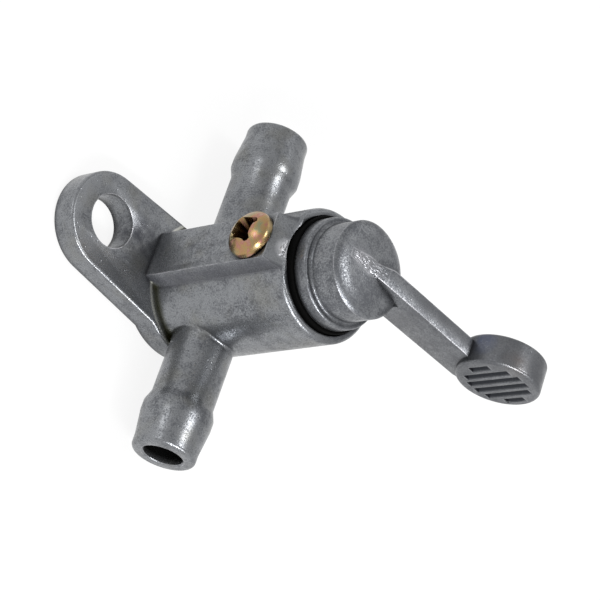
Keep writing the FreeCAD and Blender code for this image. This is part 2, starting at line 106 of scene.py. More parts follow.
# What the colours, the lengths, the lamps' powers and the levels of light in the panel have in common.
COLOUR = {"subtype": "COLOR", "size": 4, "min": 0, "max": 1}
LENGTH = {"unit": "LENGTH", "subtype": "DISTANCE", "precision": 5}
POWER = {"unit": "POWER", "min": 0, "max": 50}
LEVEL = {"min": 0, "max": 4}


class CastingSettings(bpy.types.PropertyGroup):
    colour: FloatVectorProperty(
        name="Metal", description="Colour of the clean tumbled casting", default=linear("#848689"), **COLOUR)
    dark_colour: FloatVectorProperty(
        name="Dull metal", description="Colour of the duller patches", default=linear("#5a5c60"), **COLOUR)
    # Edges are lightened with this colour: rubbed metal, and a painted highlight along them.
    worn_highlight_colour: FloatVectorProperty(
        name="Worn edge", description="Colour of edges rubbed bright", default=linear("#c4c4c8"), **COLOUR)
    roughness: FloatProperty(
        name="Roughness", description="How dull the casting is", subtype="FACTOR", min=0, max=1, default=0.32)
    grain: FloatProperty(
        name="Grain", description="Size of the grain left by tumbling",
        min=0.05 * MM, max=2 * MM, default=0.2 * MM, **LENGTH)
    edge_round: FloatProperty(
        name="Edge rounding", description="Rounding of the edges that the frame leaves sharp",
        min=0, max=0.5 * MM, default=0.12 * MM, **LENGTH)


class ScrewSettings(bpy.types.PropertyGroup):
    colour: FloatVectorProperty(
        name="Passivate", description="Main colour of the yellow passivated zinc", default=linear("#9c8763"),
        **COLOUR)
    recess_span: FloatProperty(
        name="Recess span", description="Size of the cross recess over two opposite arms",
        min=2 * MM, max=4.5 * MM, default=4.3 * MM, **LENGTH)
    recess_depth: FloatProperty(
        name="Recess depth", description="Depth of the cross recess",
        min=0.5 * MM, max=2.4 * MM, default=2.0 * MM, **LENGTH)
    recess_turn: FloatProperty(
        name="Recess turn", description="How far the screw is turned about its axis", unit="ROTATION",
        subtype="ANGLE", min=-math.pi, max=math.pi, default=math.radians(35))
    steps: IntProperty(
        name="Steps", description="Facets round the screw", min=24, max=128, default=64)


class RubberSettings(bpy.types.PropertyGroup):
    # Near black, so that the ring at the bore's mouth also paints the shade of the gap under the plug's head.
    colour: FloatVectorProperty(
        name="Rubber", description="Colour of the moulded rubber", default=linear("#040404"), **COLOUR)
    steps: IntProperty(
        name="Steps", description="Facets round each ring", min=32, max=256, default=128)


class StageSettings(bpy.types.PropertyGroup):
    floor_colour: FloatVectorProperty(
        name="Floor", description="Colour of the floor", default=linear("#f4f4f4"), **COLOUR)
    horizon_level: FloatProperty(
        name="Horizon light", description="Strength of the room's light at the horizon", default=0.92,
        **LEVEL)
    ceiling_level: FloatProperty(
        name="Ceiling light", description="Strength of the room's light overhead", default=0.66, **LEVEL)
    main_power: FloatProperty(
        name="Main lamp", description="Power of the soft lamp overhead", default=0.72, **POWER)
    side_power: FloatProperty(
        name="Side lamp", description="Power of the low lamp on the ear side", default=0.2, **POWER)
    front_power: FloatProperty(
        name="Front lamp", description="Power of the lamp beyond the near barb", default=2.3, **POWER)
    back_power: FloatProperty(
        name="Back lamp", description="Power of the lamp beyond the far barb", default=0.07, **POWER)


def start_material(name):
    """A new material with an empty node tree."""
    material = bpy.data.materials.new(name)
    material.use_nodes = True
    material.node_tree.nodes.clear()
    return material, material.node_tree


def body_painted_light_and_stains(tree, place, noises):
    """Painted light and stains of the body, as masks with their colours: painted shade on the sloping sides
    of the land, down the barrel's side away from the ear and inside the barbs' bores, and two lines round the
    barrel's foot."""
    ahead, sideways, height = add_node(tree, "SeparateXYZ", {0: place}).outputs
    aside = add_node(tree, "Math", {0: sideways}, operation="ABSOLUTE").outputs[0]

    # Painted shade on the land's sides, which slope where it stands ahead of the barrel and above the flange.
    off_slope = add_node(tree, "Math", {0: aside, 1: LAND_SLOPE}, operation="SUBTRACT")
    off_slope = add_node(tree, "Math", {0: off_slope.outputs[0]}, operation="ABSOLUTE")
    painted_shade = add_node(tree, "MapRange", {
        "Value": off_slope.outputs[0], "From Min": 0.5 * MM, "From Max": 0.15 * MM, "To Max": 0.75})
    for part, start in ((ahead, LAND_START), (height, FLANGE_TOP + 0.1 * MM)):
        beyond = add_node(tree, "Math", {0: part, 1: start}, operation="GREATER_THAN")
        painted_shade = add_node(tree, "Math", {0: painted_shade.outputs[0], 1: beyond.outputs[0]}, operation="MULTIPLY")

    # Painted shade: the barrel is darker down the side away from the ear, above the barb.
    lee_side = (-0.52, 0.85, 0)
    barb_top = 10.6 * MM
    reach = add_node(tree, "VectorMath", {0: place, 1: lee_side}, operation="DOT_PRODUCT")
    barrel_side_shade = add_node(tree, "MapRange", {
        "Value": reach.outputs["Value"], "From Min": BARREL_RADIUS - 1.1 * MM,
        "From Max": BARREL_RADIUS - 0.1 * MM, "To Max": 0.55})
    above = add_node(tree, "MapRange", {
        "Value": height, "From Min": barb_top, "From Max": barb_top + 1.4 * MM})
    barrel_side_shade = add_node(tree, "Math", {0: barrel_side_shade.outputs[0], 1: above.outputs[0]}, operation="MULTIPLY")

    # Painted shade makes the bores black from just inside the barbs' mouths.
    section = add_node(tree, "CombineXYZ", {0: ahead, 2: height})
    off_axis = add_node(tree, "VectorMath", {0: section.outputs[0], 1: (0, 0, PORT_HEIGHT)},
                        operation="DISTANCE")
    bore = add_node(tree, "Math", {0: off_axis.outputs["Value"], 1: PORT_RADIUS + 0.1 * MM},
                    operation="LESS_THAN")
    inward = add_node(tree, "MapRange", {
        "Value": aside, "From Min": BARB_END - 0.15 * MM, "From Max": BARB_END - 0.95 * MM, "To Max": 0.92})
    bore = add_node(tree, "Math", {0: bore.outputs[0], 1: inward.outputs[0]}, operation="MULTIPLY")
    layers = [(painted_shade, linear("#55565b")), (barrel_side_shade, linear("#3a3b3f")), (bore, linear("#131412"))]

    # Two lines round the barrel's foot: a painted highlight on the flange, and olive grease in the corner,
    # darkened as painted shade. Each has its radius and height, how far off it ends and is whole, its
    # strength and its colour.
    lines = (
        (BARREL_RADIUS + 0.75 * MM, FLANGE_TOP, 0.26 * MM, 0.1 * MM, 1.4, "#cfcfc8"),
        (BARREL_RADIUS, FLANGE_TOP + 0.05 * MM, 0.9 * MM, 0.2 * MM, 1.2, "#4a4a2a"),
    )
    flat = add_node(tree, "CombineXYZ", {0: ahead, 1: sideways})
    span = add_node(tree, "VectorMath", {0: flat.outputs[0]}, operation="LENGTH")
    spot = add_node(tree, "CombineXYZ", {0: span.outputs["Value"], 2: height})
    for radius, level, end, whole, strength, colour in lines:
        away = add_node(tree, "VectorMath", {0: spot.outputs[0], 1: (radius, 0, level)}, operation="DISTANCE")
        near = add_node(tree, "MapRange", {
            "Value": away.outputs["Value"], "From Min": end, "From Max": whole, "To Max": strength})
        near = add_node(tree, "Math", {0: near.outputs[0], 1: noises["stain"]}, operation="MULTIPLY",
                        use_clamp=True)
        layers.append((near, linear(colour)))
    return layers


def lever_shade_and_tone(tree, place, noises):
    """Two darker layers of the lever, as masks with their colours: the arm and thumb disc, darker than the
    head and more so further out, and painted shade in the disc's grip grooves."""
    ahead, sideways, height = add_node(tree, "SeparateXYZ", {0: place}).outputs
    # Darker further out along the arm, in patches.
    outward_darkening = add_node(tree, "MapRange", {
        "Value": ahead, "From Min": -4 * MM, "From Max": -9 * MM, "To Max": 1.1})
    outward_darkening = add_node(tree, "Math", {0: outward_darkening.outputs[0], 1: noises["stain"]}, operation="MULTIPLY")

    # Painted shade in the grooves, which end 4.4 mm from the disc's axis and reach 0.4 mm into faces 2 mm
    # from the middle.
    low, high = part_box("plug_lever")
    disc_radius, groove_end = 5.25 * MM, 4.4 * MM
    disc_centre = (low[0] + disc_radius, 0, high[2] - disc_radius)
    aside = add_node(tree, "Math", {0: sideways}, operation="ABSOLUTE")
    sunk = add_node(tree, "MapRange", {
        "Value": aside.outputs[0], "From Min": 1.99 * MM, "From Max": 1.8 * MM, "To Max": 0.9})
    section = add_node(tree, "CombineXYZ", {0: ahead, 2: height})
    off_axis = add_node(tree, "VectorMath", {0: section.outputs[0], 1: disc_centre}, operation="DISTANCE")
    inside = add_node(tree, "Math", {0: off_axis.outputs["Value"], 1: groove_end}, operation="LESS_THAN")
    groove_shade = add_node(tree, "Math", {0: sunk.outputs[0], 1: inside.outputs[0]}, operation="MULTIPLY")
    return [(outward_darkening, linear("#5c5d60")), (groove_shade, linear("#25272c"))]


def mark_layers(tree, place, noises, marks):
    """Colours round single spots, as masks with their colours: stains, and on the body a painted glint and a
    painted shade.
    A mark is given as its centre and radius in mm, its colour and its strength."""
    layers = []
    for centre, radius, colour, strength in marks:
        away = add_node(tree, "VectorMath", {0: place, 1: Vector(centre) * MM}, operation="DISTANCE")
        near = add_node(tree, "MapRange", {
            "Value": away.outputs["Value"], "From Min": radius * MM, "From Max": 0.3 * radius * MM,
            "To Max": strength})
        near = add_node(tree, "Math", {0: near.outputs[0], 1: noises["dents"]}, operation="MULTIPLY")
        layers.append((near, linear(colour)))
    return layers


def edge_masks(tree, noises):
    """The masks of three things that follow the shape: rubbed metal with a painted highlight where the
    surface turns over an edge, painted shade where it turns into a corner, and painted shade far inside the
    bores and other hollows."""
    rounded = add_node(tree, "Bevel", {"Radius": 0.3 * MM}, samples=6)
    true_normal = add_node(tree, "NewGeometry").outputs["Normal"]
    turn = add_node(tree, "VectorMath", {0: rounded.outputs["Normal"], 1: true_normal},
                    operation="DOT_PRODUCT")
    edge = add_node(tree, "MapRange", {"Value": turn.outputs["Value"], "From Min": 0.995, "From Max": 0.9})
    hollow = add_node(tree, "AmbientOcclusion", {"Distance": 1.2 * MM}, samples=8)
    corner = add_node(tree, "MapRange", {"Value": hollow.outputs["AO"], "From Min": 0.92, "From Max": 0.52})
    open_edge = add_node(tree, "Math", {0: edge.outputs[0], 1: corner.outputs[0]}, operation="SUBTRACT",
                         use_clamp=True)
    broken = add_node(tree, "MapRange", {"Value": noises["dents"], "From Min": 0.36, "From Max": 0.56})
    # Rubbed metal with a painted highlight on the open edges.
    wear_and_highlight = add_node(tree, "Math", {0: open_edge.outputs[0], 1: broken.outputs[0]}, operation="MULTIPLY")
    # Painted shade in the corners.
    painted_shade = add_node(tree, "Math", {0: corner.outputs[0], 1: 0.85}, operation="MULTIPLY")
    # Painted shade far inside the bores and other hollows.
    depth = add_node(tree, "AmbientOcclusion", {"Distance": 5 * MM}, samples=8)
    deep_shade = add_node(tree, "MapRange", {"Value": depth.outputs["AO"], "From Min": 0.42, "From Max": 0.18})
    return wear_and_highlight, painted_shade, deep_shade


def casting_material(name, settings, tint, dullness, marks, own_layers):
    """Die-cast alloy, tumbled: satin grey, finely pitted, lighter on its edges, which are rubbed and carry a
    painted highlight, and darker in its corners and hollows with painted shade. The tint is the stain that
    handling leaves on it, and the dullness darkens it all over. The last argument is a function that gives
    the layers of this casting alone."""
    material, tree = start_material(name)
    place = add_node(tree, "TexCoord").outputs["Object"]
    # Each pattern's size, detail and roughness: duller patches, grain, the dents of tumbling and stains.
    patterns = (
        ("patches", 4 * MM, 4.0, 0.6),
        ("grain", settings.grain, 3.0, 0.65),
        ("dents", 1.1 * MM, 2.0, 0.5),
        ("stain", 3.2 * MM, 2.0, 0.5),
    )
    noises = {}
    for key, size, detail, roughness in patterns:
        noises[key] = add_node(tree, "TexNoise", {
            "Vector": place, "Scale": 1 / size, "Detail": detail, "Roughness": roughness}).outputs["Fac"]
    # Dark pits, 0.6 mm apart and drawn a little coarser than real so that they show.
    pits = add_node(tree, "TexVoronoi", {"Vector": place, "Scale": 1 / (0.6 * MM), "Randomness": 1.0})
    pit = add_node(tree, "MapRange", {"Value": pits.outputs["Distance"], "From Min": 0.22, "From Max": 0.06})
    pitted = add_node(tree, "Math", {0: pit.outputs[0], 1: 0.4}, operation="MULTIPLY")

    patches = add_node(tree, "MapRange", {
        "Value": noises["patches"], "From Min": 0.36, "From Max": 0.64, "To Min": dullness,
        "To Max": dullness + 0.55})
    grain = add_node(tree, "MapRange", {
        "Value": noises["grain"], "From Min": 0.3, "From Max": 0.7, "To Min": 0.75, "To Max": -0.75})
    mottle = add_node(tree, "MapRange", {
        "Value": noises["dents"], "From Min": 0.3, "From Max": 0.7, "To Min": -0.3, "To Max": 0.3})
    dull = add_node(tree, "Math", {0: patches.outputs[0], 1: grain.outputs[0]}, operation="ADD")
    dull = add_node(tree, "Math", {0: dull.outputs[0], 1: mottle.outputs[0]}, operation="ADD", use_clamp=True)
    stain = add_node(tree, "MapRange", {
        "Value": noises["stain"], "From Min": 0.5, "From Max": 0.72, "To Max": 0.3})
    wear_and_highlight, painted_shade, deep_shade = edge_masks(tree, noises)

    # The colours lie over one another in this order.
    layers = [(dull, tuple(settings.dark_colour)), (stain, linear(tint))]
    layers += mark_layers(tree, place, noises, marks)
    # The worn edge colour is partly a painted highlight; the two darkest layers here are painted shade in
    # corners and hollows.
    layers += [(pitted, linear("#3a3b3f")), (wear_and_highlight, tuple(settings.worn_highlight_colour)), (painted_shade, linear("#222327")),
               (deep_shade, linear("#10110f"))]
    layers += own_layers(tree, place, noises)
    colour = tuple(settings.colour)
    for mask, layer in layers:
        mixed = add_node(tree, "Mix", {0: mask.outputs[0], 6: colour, 7: layer}, data_type="RGBA")
        colour = mixed.outputs[2]

    rough = add_node(tree, "MapRange", {
        "Value": dull.outputs[0], "To Min": settings.roughness - 0.05, "To Max": settings.roughness + 0.12})
    rough = add_node(tree, "Mix", {0: wear_and_highlight.outputs[0], 2: rough.outputs[0], 3: 0.28}, data_type="FLOAT")
    relief = add_node(tree, "Math", {0: noises["grain"], 1: 0.45}, operation="MULTIPLY")
    relief = add_node(tree, "Math", {0: noises["dents"], 1: relief.outputs[0]}, operation="ADD")
    relief = add_node(tree, "Math", {0: relief.outputs[0], 1: pit.outputs[0]}, operation="SUBTRACT")
    bump = add_node(tree, "Bump", {"Height": relief.outputs[0], "Strength": 0.5, "Distance": 0.03 * MM})
    shader = add_node(tree, "BsdfPrincipled", {
        "Base Color": colour, "Metallic": 0.92, "Roughness": rough.outputs[0],
        "Normal": bump.outputs["Normal"]})
    add_node(tree, "OutputMaterial", {"Surface": shader.outputs["BSDF"]})
    return material


def screw_material(settings):
    """Steel, zinc plated and yellow passivated: a thin glossy film that goes gold, pink and green."""
    material, tree = start_material("yellow_passivated_zinc")
    place = add_node(tree, "TexCoord").outputs["Object"]
    film = add_node(tree, "TexNoise", {
        "Vector": place, "Scale": 1 / (1.3 * MM), "Detail": 3.0, "Distortion": 0.6})
    ramp = add_node(tree, "ValToRGB", {"Fac": film.outputs["Fac"]})
    stops = ramp.color_ramp.elements
    stops[0].position, stops[0].color = 0.3, linear("#85876a")
    stops[1].position, stops[1].color = 0.72, linear("#ab9d80")
    for spot, colour in ((0.42, tuple(settings.colour)), (0.52, linear("#a5875c")), (0.6, linear("#a8766a"))):
        stops.new(spot).color = colour
    # Painted shade, dark brown, in the recess and under the head.
    hollow = add_node(tree, "AmbientOcclusion", {"Distance": 2.5 * MM}, samples=8)
    corner = add_node(tree, "MapRange", {"Value": hollow.outputs["AO"], "From Min": 0.85, "From Max": 0.55})
    colour = add_node(tree, "Mix", {0: corner.outputs[0], 6: ramp.outputs["Color"], 7: linear("#2a1a0a")},
                      data_type="RGBA")
    grain = add_node(tree, "TexNoise", {"Vector": place, "Scale": 1 / (0.25 * MM), "Detail": 2.0})
    rough = add_node(tree, "MapRange", {"Value": grain.outputs["Fac"], "To Min": 0.2, "To Max": 0.36})
    bump = add_node(tree, "Bump", {"Height": grain.outputs["Fac"], "Strength": 0.3, "Distance": 0.015 * MM})
    shader = add_node(tree, "BsdfPrincipled", {
        "Base Color": colour.outputs[2], "Metallic": 1.0, "Roughness": rough.outputs[0],
        "Normal": bump.outputs["Normal"]})
    add_node(tree, "OutputMaterial", {"Surface": shader.outputs["BSDF"]})
    return material


def rubber_material(settings):
    """Moulded nitrile rubber: near black and almost matt, greyed in patches by a thin film of dust. Made this
    dark, the ring at the bore's mouth also paints the shade of the gap under the plug's head.
    """
    material, tree = start_material("nitrile_rubber")
    place = add_node(tree, "TexCoord").outputs["Object"]
    dust = add_node(tree, "TexNoise", {"Vector": place, "Scale": 1 / (2.5 * MM), "Detail": 3.0})
    dusty = add_node(tree, "MapRange", {
        "Value": dust.outputs["Fac"], "From Min": 0.45, "From Max": 0.75, "To Max": 0.15})
    colour = add_node(tree, "Mix", {0: dusty.outputs[0], 6: tuple(settings.colour), 7: linear("#121211")},
                      data_type="RGBA")
    grain = add_node(tree, "TexNoise", {"Vector": place, "Scale": 1 / (0.4 * MM), "Detail": 3.0})
    rough = add_node(tree, "MapRange", {"Value": grain.outputs["Fac"], "To Min": 0.5, "To Max": 0.75})
    bump = add_node(tree, "Bump", {"Height": grain.outputs["Fac"], "Strength": 0.2, "Distance": 0.02 * MM})
    shader = add_node(tree, "BsdfPrincipled", {
        "Base Color": colour.outputs[2], "IOR": 1.52, "Specular IOR Level": 0.03,
        "Roughness": rough.outputs[0], "Normal": bump.outputs["Normal"]})
    add_node(tree, "OutputMaterial", {"Surface": shader.outputs["BSDF"]})
    return material


def finish_piece(name, mesh_data, material, node, body):
    """Turns a bmesh into the piece that stands for one node of the frame."""
    mesh = bpy.data.meshes.new(name)
    mesh_data.to_mesh(mesh)
    mesh_data.free()
    mesh.materials.append(material)
    piece = bpy.data.objects.new(name, mesh)
    bpy.context.scene.collection.objects.link(piece)
    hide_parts(node)
    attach(piece, body)


def turn_over(edge):
    """How far the surface turns at an edge, in degrees."""
    return math.degrees(edge.calc_face_angle(0)) if edge.is_manifold else 0


def shade(made, sharpest):
    """Shades the mesh smooth, but for edges that turn more than this many degrees."""
    for face in made.faces:
        face.smooth = True
    for edge in made.edges:
        edge.smooth = turn_over(edge) <= sharpest


def spin_profile(made, axis, steps):
    """Spins all that the mesh holds, the profile, round an axis through the origin into one closed skin."""
    bmesh.ops.spin(made, geom=made.verts[:] + made.edges[:], cent=(0, 0, 0), axis=axis, angle=2 * math.pi,
                   steps=steps, use_merge=True)
    bmesh.ops.remove_doubles(made, verts=made.verts, dist=MERGE)
    bmesh.ops.recalc_face_normals(made, faces=made.faces)


def merged_copy(node, edge_round):
    """The node's shape as one closed mesh: flat faces made whole, sharp edges rounded, the rest smooth."""
    flattest, sharpest_left, sharpest_shaded = 0.4, 28, 50
    made = bmesh.new()
    made.from_mesh(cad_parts[node].data)
    bmesh.ops.remove_doubles(made, verts=made.verts, dist=MERGE)
    bmesh.ops.dissolve_limit(made, angle_limit=math.radians(flattest), use_dissolve_boundaries=False,
                             verts=made.verts, edges=made.edges)
    sharp = [edge for edge in made.edges if turn_over(edge) > sharpest_left]
    if edge_round > 0:
        bmesh.ops.bevel(made, geom=sharp, offset=edge_round, offset_type="OFFSET", segments=2, profile=0.5,
                        affect="EDGES", clamp_overlap=True, material=-1)
    shade(made, sharpest_shaded)
    return made


def torn_ridge(made, middle, run, half_length, half_width, taper, rise):
    """Lays a low broken ridge over the casting, where metal was torn off. It runs along one direction through
    the middle, which is a place above the casting, and its sizes are in mm. The taper is the share of its
    width lost at its far end."""
    # The lumps are drawn out along the run. Coarse and fine ones are given as lumps to a mm.
    drawn_out, coarse, fine, fine_share = 0.45, 2.6, 6, 0.8
    edge_sink, thickness = 0.05, 0.25
    casting = BVHTree.FromBMesh(made)
    run = Vector(run)
    side = Vector((-run.y, run.x, 0))
    ridge = bmesh.ops.create_grid(made, x_segments=90, y_segments=32, size=1)["verts"]
    for vert in ridge:
        along, aside = vert.co.x, vert.co.y
        offset = run * along * half_length + side * aside * half_width * (1 - taper * max(along, 0))
        spot = Vector(middle) + offset
        ground = casting.ray_cast(spot * MM, Vector((0, 0, -1)))[0]
        swell = (1 - aside ** 4) * (1 - along ** 4)
        lump = Vector((along * half_length * drawn_out, aside * half_width, aside * half_width))
        broken = noise.noise(lump * coarse) + fine_share * noise.noise(lump * fine)
        vert.co = ground + Vector((0, 0, (rise * swell * (1 + broken) - edge_sink) * MM))
    faces = list({face for vert in ridge for face in vert.link_faces})
    sunk = bmesh.ops.extrude_face_region(made, geom=faces, use_keep_orig=True)["geom"]
    lower = [item for item in sunk if isinstance(item, bmesh.types.BMVert)]
    bmesh.ops.translate(made, verts=lower, vec=(0, 0, -thickness * MM))
    shell = list({face for vert in ridge + lower for face in vert.link_faces})
    bmesh.ops.recalc_face_normals(made, faces=shell)
    for face in shell:
        face.smooth = True


def wider_rim(made):
    """Widens the rounding of the barrel's rim, as the worn casting has it, all round but at the land."""
    old_round, new_round = 0.45 * MM, 0.7 * MM
    slack = 0.01 * MM
    # Seen from the plug's axis, the land ends at the first angle, and the rim is whole from the second.
    land_end, full_width = 40, 52
    for vert in made.verts:
        out = math.hypot(vert.co.x, vert.co.y)
        beyond = out - (BARREL_RADIUS - old_round)
        above = vert.co.z - (BARREL_TOP - old_round)
        if above > -slack and -slack < beyond < old_round + slack:
            turn = math.degrees(abs(math.atan2(vert.co.y, vert.co.x)))
            share = min(max((turn - land_end) / (full_width - land_end), 0), 1)
            angle = math.atan2(above, beyond)
            wide = BARREL_RADIUS - new_round * (1 - math.cos(angle))
            high = BARREL_TOP - new_round * (1 - math.sin(angle))
            reach = 1 + share * (wide / out - 1)
            vert.co = (vert.co.x * reach, vert.co.y * reach, vert.co.z + share * (high - vert.co.z))


class FUELTAP_OT_body_casting(bpy.types.Operator):
    """The body in one casting: flange and ear, barrel, land and the two barbs."""
    bl_idname = "fueltap.body_casting"
    bl_label = "Body casting"

    def execute(self, context):
        settings = context.scene.fueltap_casting
        made = merged_copy("valve_body", settings.edge_round)
        wider_rim(made)
        # A burr on the edge of the bore, where the land ends.
        torn_ridge(made, middle=(7.52, 0.9, 40), run=(0, 1, 0), half_length=1.3, half_width=0.28, taper=0,
                   rise=0.22)
        # The burr is bright bare metal with a painted glint, and beside the ear's hole the flange has painted
        # shade.
        marks = [
            ((7.4, 0.9, 24.3), 1.5, "#e4e4e8", 1.8),
            ((11.9, -1.0, 3.4), 3.8, "#3c3d42", 1.3),
        ]
        material = casting_material("tumbled_die_casting_body", settings, "#77756a", 0.0, marks, body_painted_light_and_stains)
        finish_piece("tap_body", made, material, "valve_body", "body")
        return {"FINISHED"}


class FUELTAP_OT_lever_casting(bpy.types.Operator):
    """The plug and its lever in one casting."""
    bl_idname = "fueltap.lever_casting"
    bl_label = "Lever casting"

    def execute(self, context):
        settings = context.scene.fueltap_casting
        made = merged_copy("plug_lever", settings.edge_round)
        # The casting's gate was snapped off on the head and its rib.
        torn_ridge(made, middle=(0.9, 0, 40), run=(1, 0, 0), half_length=2.9, half_width=0.95, taper=0.47,
                   rise=0.13)
        # The broken gate on the rib, and the blued and browned patches of the thumb disc's rim.
        marks = [
            ((2.4, 0, 31.3), 1.5, "#96969a", 0.9),
            ((0.6, 0, 31.6), 1.5, "#96969a", 0.9),
            ((-17.9, -0.8, 33.9), 2.0, "#4f5f8a", 1.1),
            ((-20.7, 1.2, 37.3), 2.2, "#84705f", 0.45),
        ]
        material = casting_material("tumbled_die_casting_lever", settings, "#606268", 0.3, marks, lever_shade_and_tone)
        finish_piece("tap_lever", made, material, "plug_lever", "plug")
        return {"FINISHED"}


def screw_blank(low, high, seat, steps):
    """An M3 screw with a pan head, still without its recess, as one profile spun round the X axis."""
    shank = 1.5 * MM
    tip_chamfer = 0.3 * MM
    dome_rise = 1.4 * MM
    dome_points = 8
    shoulder_round = 0.3 * MM
    head = (high[2] - low[2]) / 2
    spots = [(low[0], 0), (low[0], shank - tip_chamfer), (low[0] + tip_chamfer, shank), (seat, shank)]
    shoulders = [(seat, head), (high[0] - dome_rise, head)]
    dome = []
    dome_radius = (head * head + dome_rise * dome_rise) / (2 * dome_rise)
    for step in range(1, dome_points + 1):
        out = head * (1 - step / dome_points)
        dome.append((high[0] - dome_radius + math.sqrt(dome_radius * dome_radius - out * out), out))
    made = bmesh.new()
    points = [made.verts.new((x, out, 0)) for x, out in spots + shoulders + dome]
    for pair in zip(points, points[1:]):
        made.edges.new(pair)
    rounded = points[len(spots):len(spots) + len(shoulders)]
    bmesh.ops.bevel(made, geom=rounded, offset=shoulder_round, offset_type="OFFSET", segments=4, profile=0.5,
                    affect="VERTICES", material=-1)
    spin_profile(made, (1, 0, 0), steps)
    return made


def cross_cutter(top, settings):
    """The tool that leaves the recess: a cross along the X axis whose walls lean in under the dome."""
    arm = settings.recess_span / 2
    # One quarter of the cross, in shares of its arm: an arm's rounded end, then the hollow between two arms.
    quarter_points = ((0.98, -0.18), (1.04, 0), (0.98, 0.18), (0.7, 0.24), (0.46, 0.46), (0.24, 0.7))
    # The tool stands clear of the head, goes straight down a little and then narrows to its floor.
    clear, straight, floor_share = 0.5 * MM, 0.4 * MM, 0.42
    made = bmesh.new()
    corners = []
    for quarter in range(4):
        turn = Matrix.Rotation(quarter * math.pi / 2 + settings.recess_turn, 4, "X")
        for along, aside in quarter_points:
            corners.append(made.verts.new(turn @ Vector((top + clear, along * arm, aside * arm))))
    face = made.faces.new(corners)
    for drop, size in ((clear + straight, 1.0), (settings.recess_depth - straight, floor_share)):
        sunk = bmesh.ops.extrude_face_region(made, geom=[face], use_keep_orig=True)["geom"]
        # The first face stays as the tool's top, and the second would be a wall inside it.
        if size < 1:
            bmesh.ops.delete(made, geom=[face], context="FACES_ONLY")
        face = [item for item in sunk if isinstance(item, bmesh.types.BMFace)][0]
        bmesh.ops.translate(made, verts=face.verts, vec=(-drop, 0, 0))
        bmesh.ops.scale(made, verts=face.verts, vec=(1, size, size))
    bmesh.ops.recalc_face_normals(made, faces=made.faces)
    return made


def cut_away(blank, tool, context):
    """The blank less the tool."""
    holders = []
    for name, shape in (("blank", blank), ("tool", tool)):
        mesh = bpy.data.meshes.new(name)
        shape.to_mesh(mesh)
        shape.free()
        holders.append(bpy.data.objects.new(name, mesh))
        context.scene.collection.objects.link(holders[-1])
    cut = holders[0].modifiers.new("cut", "BOOLEAN")
    cut.operation = "DIFFERENCE"
    cut.solver = "EXACT"
    cut.object = holders[1]
    cut_blank = holders[0].evaluated_get(context.evaluated_depsgraph_get())
    cut_mesh = bpy.data.meshes.new_from_object(cut_blank)
    made = bmesh.new()
    made.from_mesh(cut_mesh)
    bmesh.ops.remove_doubles(made, verts=made.verts, dist=MERGE)
    for holder in holders:
        bpy.data.objects.remove(holder)
    bpy.data.meshes.remove(cut_mesh)
    return made


class FUELTAP_OT_screw(bpy.types.Operator):
    """The pan-head screw that keeps the plug in, with its cross recess."""
    bl_idname = "fueltap.screw"
    bl_label = "Retaining screw"

    def execute(self, context):
        settings = context.scene.fueltap_screw
        low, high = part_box("retaining_screw")
        head_height = 2.4 * MM
        seat = high[0] - head_height
        blank = screw_blank(low, high, seat, settings.steps)
        made = cut_away(blank, cross_cutter(high[0], settings), context)
        # The recess has a lip worn round. The shoulder, lower down, is round already.
        lip_start, lip_round = seat + 0.4 * MM, 0.06 * MM
        sharpest_left, sharpest_shaded = 35, 40
        lips = [edge for edge in made.edges
                if turn_over(edge) > sharpest_left and min(vert.co.x for vert in edge.verts) > lip_start]
        bmesh.ops.bevel(made, geom=lips, offset=lip_round, offset_type="OFFSET", segments=2, profile=0.5,
                        affect="EDGES", clamp_overlap=True, material=-1)
        bmesh.ops.translate(made, verts=made.verts, vec=(0, 0, (low[2] + high[2]) / 2))
        shade(made, sharpest_shaded)
        finish_piece("tap_screw", made, screw_material(settings), "retaining_screw", "body")
        return {"FINISHED"}


def o_ring(low, high, steps):
    """A round cord bent into a ring about the Z axis, as large as its node's box."""
    cord = (high[2] - low[2]) / 2
    middle = Matrix.Translation((high[0] - cord, 0, (low[2] + high[2]) / 2))
    upright = Matrix.Rotation(math.pi / 2, 4, "X")
    made = bmesh.new()
    bmesh.ops.create_circle(made, segments=24, radius=cord, matrix=middle @ upright)
    spin_profile(made, (0, 0, 1), steps)
    return made


def flat_ring(low, high, inner, steps):
    """A flat ring with rounded corners about the Z axis, as large as its node's box."""
    corner_round = 0.18 * MM
    made = bmesh.new()
    corners = [made.verts.new(spot) for spot in (
        (inner, 0, low[2]), (high[0], 0, low[2]), (high[0], 0, high[2]), (inner, 0, high[2]))]
    for place, corner in enumerate(corners):
        made.edges.new((corner, corners[place - 1]))
    bmesh.ops.bevel(made, geom=corners, offset=corner_round, offset_type="OFFSET", segments=3, profile=0.5,
                    affect="VERTICES", material=-1)
    spin_profile(made, (0, 0, 1), steps)
    return made


class FUELTAP_OT_rings(bpy.types.Operator):
    """The two O-rings on the plug and the flat ring at the mouth of its bore."""
    bl_idname = "fueltap.rings"
    bl_label = "Rubber rings"

    def execute(self, context):
        settings = context.scene.fueltap_rubber
        material = rubber_material(settings)
        # The flat ring sits on the plug's neck, 11.54 mm across.
        neck = 11.54 * MM / 2
        rings = (
            ("lower_o_ring", o_ring(*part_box("lower_o_ring"), settings.steps)),
            ("upper_o_ring", o_ring(*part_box("upper_o_ring"), settings.steps)),
            ("mouth_ring", flat_ring(*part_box("mouth_ring"), neck, settings.steps)),
        )
        for node, made in rings:
            for face in made.faces:
                face.smooth = True
            finish_piece("rubber_" + node, made, material, node, "plug")
        return {"FINISHED"}


